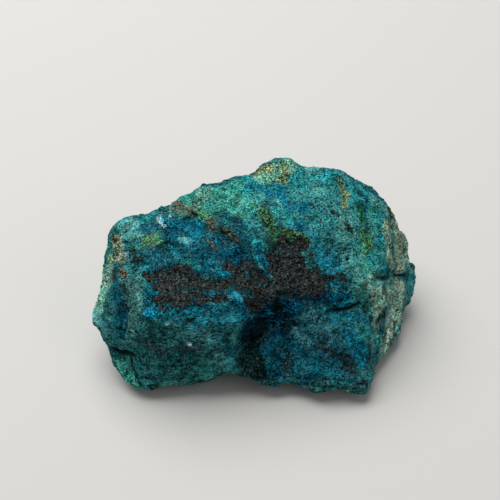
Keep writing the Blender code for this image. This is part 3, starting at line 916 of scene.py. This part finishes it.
# The surface itself. Relief in metres; threads, pits and crust as a share of the crumbs'.
STONE_GLOSS = 0.015
LEAST_ROUGHNESS = 0.5
CRUMB_ROUGHNESS = 0.3
GRAIN_RELIEF = 0.001
THREAD_RELIEF = 0.3
PIT_RELIEF = 0.4
CRUST_RELIEF = 0.35


class StoneShader(Shader):
    """The stone's node tree, with the places and the stored values that its parts share."""

    def __init__(self):
        super().__init__("chrysocolla")
        self.here = self.place_in_mm()
        self.elsewhere = self.place_in_mm(shift=(31, 17, 5))
        self.further = self.place_in_mm(shift=(-11, 43, 23))
        self.streaked = self.place_in_mm(shift=(7, 3, 11), stretch=(0.33, 0.33, 1))
        self.level = self.place_in_mm(shift=(3, 19, 7), stretch=(0.12, 0.12, 1))
        self.speckle = self.attribute("speckle")
        self.pale_grains = self.attribute("pale_grains")
        self.bedded = self.attribute("bedded")

    def fine_noise(self, place, span, streak_span, detail=1.5, rough=0.6):
        """Fine noise, drawn out along the beds on the steep faces."""
        plain = self.noise(place, span, detail, rough)
        streaks = self.noise(self.streaked, streak_span, detail, rough)
        return self.by_share(self.bedded, plain, streaks)


def drifting_ground(shader):
    """The minerals, with drifts of blue and green and a mosaic of lighter and darker grains."""
    ground = shader.attribute("ground")
    tone, chance = shader.cells(shader.warped(shader.here, span=0.9, reach=0.9), span=1.1)
    drift = shader.noise(shader.here, span=2.4, detail=3.0, rough=0.6)
    drift = shader.between(drift, low=0.36, high=0.64, to_low=0.0, to_high=0.7)
    hue = shader.plus(drift, shader.times(chance, GRAIN_HUE))
    ground = shader.mix(hue, shader.tinted(ground, BLUER), shader.tinted(ground, GREENER))
    broad = shader.noise(shader.further, span=6.0)
    broad = shader.between(broad, low=0.35, high=0.65, to_low=0.85, to_high=1.15)
    mosaic = shader.between(tone, low=0.0, high=1.0, to_low=0.7, to_high=1.3)
    return shader.tinted(ground, shader.times(broad, mosaic))


def crumbled(shader, ground, crumb):
    """Dark and pale crumbs through the ground, stronger and streaked on bedded faces."""
    dark = shader.mix(shader.bedded, *DARK_GRAIN)
    pale = shader.mix(shader.bedded, *PALE_GRAIN)
    crumbs = shader.mix(shader.between(crumb, low=0.45, high=0.56), dark, pale)
    zone = shader.noise(shader.here, span=3.5)
    zone = shader.between(zone, low=0.38, high=0.6, to_low=0.5, to_high=1.0)
    zone = shader.math("MAXIMUM", zone, shader.bedded)
    strength = shader.between(shader.speckle, low=0.0, high=0.8, to_low=0.35, to_high=1.0)
    return shader.mix(shader.times(strength, zone), ground, crumbs, "MULTIPLY")


def banded(shader, ground):
    """Darker and lighter beds on the steep faces."""
    band = shader.noise(shader.level, span=1.1, detail=2.0, rough=0.6)
    band = shader.between(band, low=0.42, high=0.58, to_low=0.5, to_high=1.35)
    return shader.mix(shader.bedded, ground, shader.tinted(ground, band))


def pitted(shader, ground, pits):
    """Dark pits and brown specks."""
    zone = shader.noise(shader.elsewhere, span=4.0)
    zone = shader.between(zone, low=0.35, high=0.6, to_low=0.3, to_high=1.0)
    pit_part = shader.times(shader.times(pits, zone), shader.speckle)
    ground = shader.mix(pit_part, ground, shader.tinted(ground, PIT_TINT))
    specks = shader.noise(shader.elsewhere, span=1.5, detail=2.0, rough=0.6)
    specks = shader.between(specks, low=0.66, high=0.7)
    return shader.mix(shader.times(specks, shader.speckle), ground, solid_colour(BROWN_SPECK))


def vein_net(shader, value):
    """Lines where the noise value passes its middle: 1 on a line, 0 a width away from it."""
    away = shader.math("ABSOLUTE", shader.minus(value, 0.5))
    return shader.between(away, low=THREAD_WIDTH, high=THREAD_CORE * THREAD_WIDTH)


def thread_net(shader):
    """The fine net of mineral threads: 1 on a thread."""
    coarse = shader.fine_noise(shader.further, span=1.1, streak_span=0.8)
    fine = shader.fine_noise(shader.further, span=0.7, streak_span=0.5, detail=1.0, rough=0.5)
    return shader.math("MAXIMUM", vein_net(shader, coarse), vein_net(shader, fine))


def threaded(shader, ground, net, sparkle):
    """Pale threads over the ground, and a few painted glints on tiny crystals."""
    zone = shader.noise(shader.further, span=5.0)
    zone = shader.between(zone, low=0.38, high=0.6, to_low=0.4, to_high=1.0)
    beads = shader.between(sparkle, low=0.42, high=0.56, to_low=0.2, to_high=1.3)
    part = shader.times(shader.times(net, beads), zone)
    part = shader.times(part, shader.times(shader.pale_grains, THREAD_STRENGTH), clamp=True)
    lighter = shader.tinted(shader.attribute("ground"), THREAD_TINT)
    pale = shader.mix(THREAD_PALLOR, lighter, solid_colour(THREAD_COLOUR))
    ground = shader.mix(part, ground, pale)
    # Painted glints: a few tiny crystals made bright as if catching the light.
    _, luck = shader.cells(shader.further, span=0.5)
    glints = shader.times(shader.between(luck, low=0.95, high=0.98), shader.pale_grains)
    return shader.mix(shader.times(glints, zone), ground, solid_colour(PAINTED_GLINT))


def shaded_and_worn(shader, ground, crumb):
    """Painted shade in the hollows, furrows and at the foot of scarps, and edges worn pale."""
    # Painted shade: hollows and furrows darkened towards a near-black teal.
    painted_shade = shader.times(shader.attribute("hollow"), HOLLOW_SHADE_STRENGTH, clamp=True)
    ground = shader.mix(painted_shade, ground, solid_colour(HOLLOW_SHADE))
    rubbed = shader.between(crumb, low=0.45, high=0.6, to_low=0.0, to_high=0.5)
    worn = shader.times(shader.attribute("worn"), rubbed)
    return shader.mix(worn, ground, solid_colour(WORN_EDGE))


def crust_share(shader):
    """1 in the black crust and 0 outside it, frayed along the edge by the grain."""
    fray = shader.noise(shader.here, span=0.8, detail=5.0, rough=0.9)
    fray = shader.minus(shader.plus(fray, shader.noise(shader.further, span=2.8)), 1.0)
    edge = shader.plus(shader.attribute("crust"), shader.times(fray, CRUST_FRAY))
    return shader.between(edge, low=0.42, high=0.58)


def crust_colour(shader, sparkle):
    """The black crust, with brown and grey grains."""
    brown = shader.noise(shader.elsewhere, span=2.2, detail=3.0, rough=0.6)
    brown = shader.between(brown, low=0.45, high=0.62)
    crust = shader.mix(brown, solid_colour(CRUST_GREY), solid_colour(CRUST_BROWN))
    tone, luck = shader.cells(shader.elsewhere, span=0.42)
    sparkles = shader.times(sparkle, 1 - CRUST_GRAIN)
    grain = shader.plus(shader.times(tone, CRUST_GRAIN), sparkles)
    grain = shader.between(grain, low=0.25, high=0.75, to_low=0.15, to_high=2.4)
    specks = shader.between(luck, low=0.88, high=0.94, to_low=0.0, to_high=0.8)
    return shader.mix(specks, shader.tinted(crust, grain), solid_colour(CRUST_SPECK))


def grain_normal(shader, crumb, net, pits, in_crust):
    """Crumbs and threads stand up and pits sink, all of them less in the crust."""
    relief = shader.plus(crumb, shader.times(net, THREAD_RELIEF))
    relief = shader.minus(relief, shader.times(pits, PIT_RELIEF))
    kept = shader.between(in_crust, low=0.0, high=1.0, to_low=1.0, to_high=CRUST_RELIEF)
    relief = shader.times(relief, kept)
    inputs = {"Height": relief, "Strength": 1.0, "Distance": GRAIN_RELIEF}
    return shader.node("ShaderNodeBump", inputs).outputs[0]


def stone_material():
    """Chrysocolla: minerals, crumbs, beds, pits, threads, painted glints, painted shade in the
    hollows and wear, with the crust on top.
    """
    shader = StoneShader()
    crumb = shader.fine_noise(shader.elsewhere, span=0.48, streak_span=0.45, detail=1.0)
    sparkle = shader.noise(shader.further, span=0.5, detail=1.0, rough=0.6)
    pits = shader.fine_noise(shader.here, span=0.95, streak_span=0.7)
    pits = shader.between(pits, low=0.54, high=0.6)
    net = thread_net(shader)
    in_crust = crust_share(shader)

    ground = drifting_ground(shader)
    ground = crumbled(shader, ground, crumb)
    ground = banded(shader, ground)
    ground = pitted(shader, ground, pits)
    ground = threaded(shader, ground, net, sparkle)
    ground = shaded_and_worn(shader, ground, crumb)
    colour = shader.mix(in_crust, ground, crust_colour(shader, sparkle))

    surface = shader.surface.inputs
    shader.feed(surface["Base Color"], colour)
    roughness = shader.plus(LEAST_ROUGHNESS, shader.times(crumb, CRUMB_ROUGHNESS))
    shader.feed(surface["Roughness"], roughness)
    shader.feed(surface["Normal"], grain_normal(shader, crumb, net, pits, in_crust))
    surface["Specular IOR Level"].default_value = STONE_GLOSS
    return shader.material


# ---------------------------------------------------------------- stage: floor, light, camera

FLOOR_SIZE = 3.0
FLOOR_COLOUR = (219, 217, 213)
FLOOR_ROUGHNESS = 0.8
FLOOR_GLOSS = 0.2
LIGHT_TARGET = (0, 0, 0.02)
STUDIO_COLOUR = (0.98, 0.99, 1, 1)
STUDIO_STRENGTH = 0.22
VIEW_TARGET = Vector((-2.6, 0.3, 29.1)) * MM
VIEW_DISTANCE = 309.6 * MM
VIEW_ELEVATION = math.radians(45)
LENS = 80
SENSOR_WIDTH = 36
NEAREST_SEEN = 0.01  # metres


def floor():
    """The plain pale floor, which isn't part of the stone."""
    bpy.ops.mesh.primitive_plane_add(size=FLOOR_SIZE)
    plane = bpy.context.object
    plane.name = "floor"
    shader = Shader("pale_floor")
    surface = shader.surface.inputs
    surface["Base Color"].default_value = solid_colour(FLOOR_COLOUR)
    surface["Roughness"].default_value = FLOOR_ROUGHNESS
    surface["Specular IOR Level"].default_value = FLOOR_GLOSS
    plane.data.materials.append(shader.material)


def aimed(obj, place, target):
    """Puts the object at the place, turned towards the target."""
    obj.location = place
    obj.rotation_euler = (Vector(target) - Vector(place)).to_track_quat("-Z", "Y").to_euler()


def area_light(name, place, size, power):
    """A soft round light, turned towards the stone. Metres and watts."""
    light = bpy.data.lights.new(name, "AREA")
    light.shape = "DISK"
    light.size = size
    light.energy = power
    obj = bpy.data.objects.new(name, light)
    bpy.context.scene.collection.objects.link(obj)
    aimed(obj, place, LIGHT_TARGET)


def lights():
    area_light("ceiling_light", place=(-0.25, 0.36, 0.9), size=1.1, power=11.2)
    area_light("window_fill", place=(0.9, -0.6, 0.9), size=0.8, power=1.0)
    world = bpy.data.worlds.new("studio")
    world.use_nodes = True
    background = world.node_tree.nodes["Background"]
    background.inputs["Color"].default_value = STUDIO_COLOUR
    background.inputs["Strength"].default_value = STUDIO_STRENGTH
    bpy.context.scene.world = world
    bpy.context.scene.view_settings.view_transform = "Standard"


def camera():
    """The camera in front of the stone, looking down at it."""
    data = bpy.data.cameras.new("camera")
    data.lens = LENS
    data.sensor_width = SENSOR_WIDTH
    data.clip_start = NEAREST_SEEN
    obj = bpy.data.objects.new("camera", data)
    bpy.context.scene.collection.objects.link(obj)
    away = Vector((0, -math.cos(VIEW_ELEVATION), math.sin(VIEW_ELEVATION)))
    aimed(obj, VIEW_TARGET + VIEW_DISTANCE * away, VIEW_TARGET)
    bpy.context.scene.camera = obj


camera()
lights()
floor()
stone = fine_skin(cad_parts["stone"])
carve_and_paint(stone)
stone.data.materials.append(stone_material())
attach(stone, "root")
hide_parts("stone")

bpy.context.view_layer.update()
